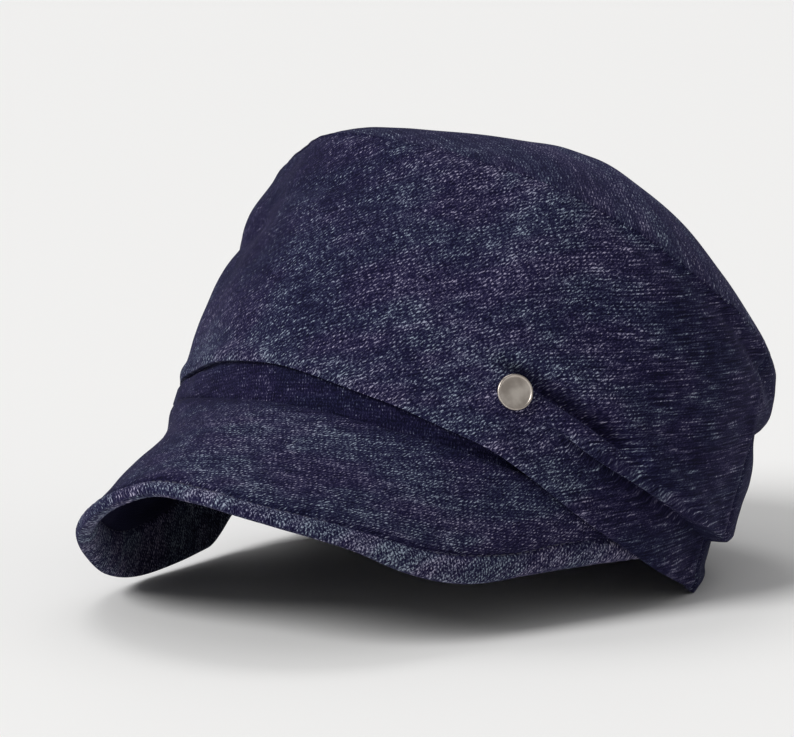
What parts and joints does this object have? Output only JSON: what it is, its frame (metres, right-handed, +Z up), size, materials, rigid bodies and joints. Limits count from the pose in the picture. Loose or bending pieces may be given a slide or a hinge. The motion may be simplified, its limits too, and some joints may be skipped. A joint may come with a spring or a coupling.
{
  "type": "cap",
  "caption": "Slouched cloth cap with an arched peak, a folded crown over an inner band and a small plain metal disc at the temple.",
  "frame": {"origin": "middle of the footprint's box, on the surface that the cap lies on", "axes": "+Z up, the peak towards -Y, the wearer's left towards +X"},
  "size_m": [0.2062, 0.2768, 0.1612],
  "materials": {
    "crown_front": "matt dark indigo denim with pale flecks",
    "crown_back": "matt dark indigo denim with pale flecks",
    "crown_top": "matt dark indigo denim with pale flecks",
    "band": "matt dark indigo denim with pale flecks",
    "peak": "matt dark indigo denim over a stiff inside, with a topstitched edge",
    "emblem": "satin nickel, bare face",
    "emblem_post": "satin nickel"
  },
  "bodies": {
    "root": {"crown_front": "crown_front", "crown_back": "crown_back", "crown_top": "crown_top", "band": "band", "peak": "peak", "emblem": "emblem", "emblem_post": "emblem_post"}
  },
  "joints": []
}
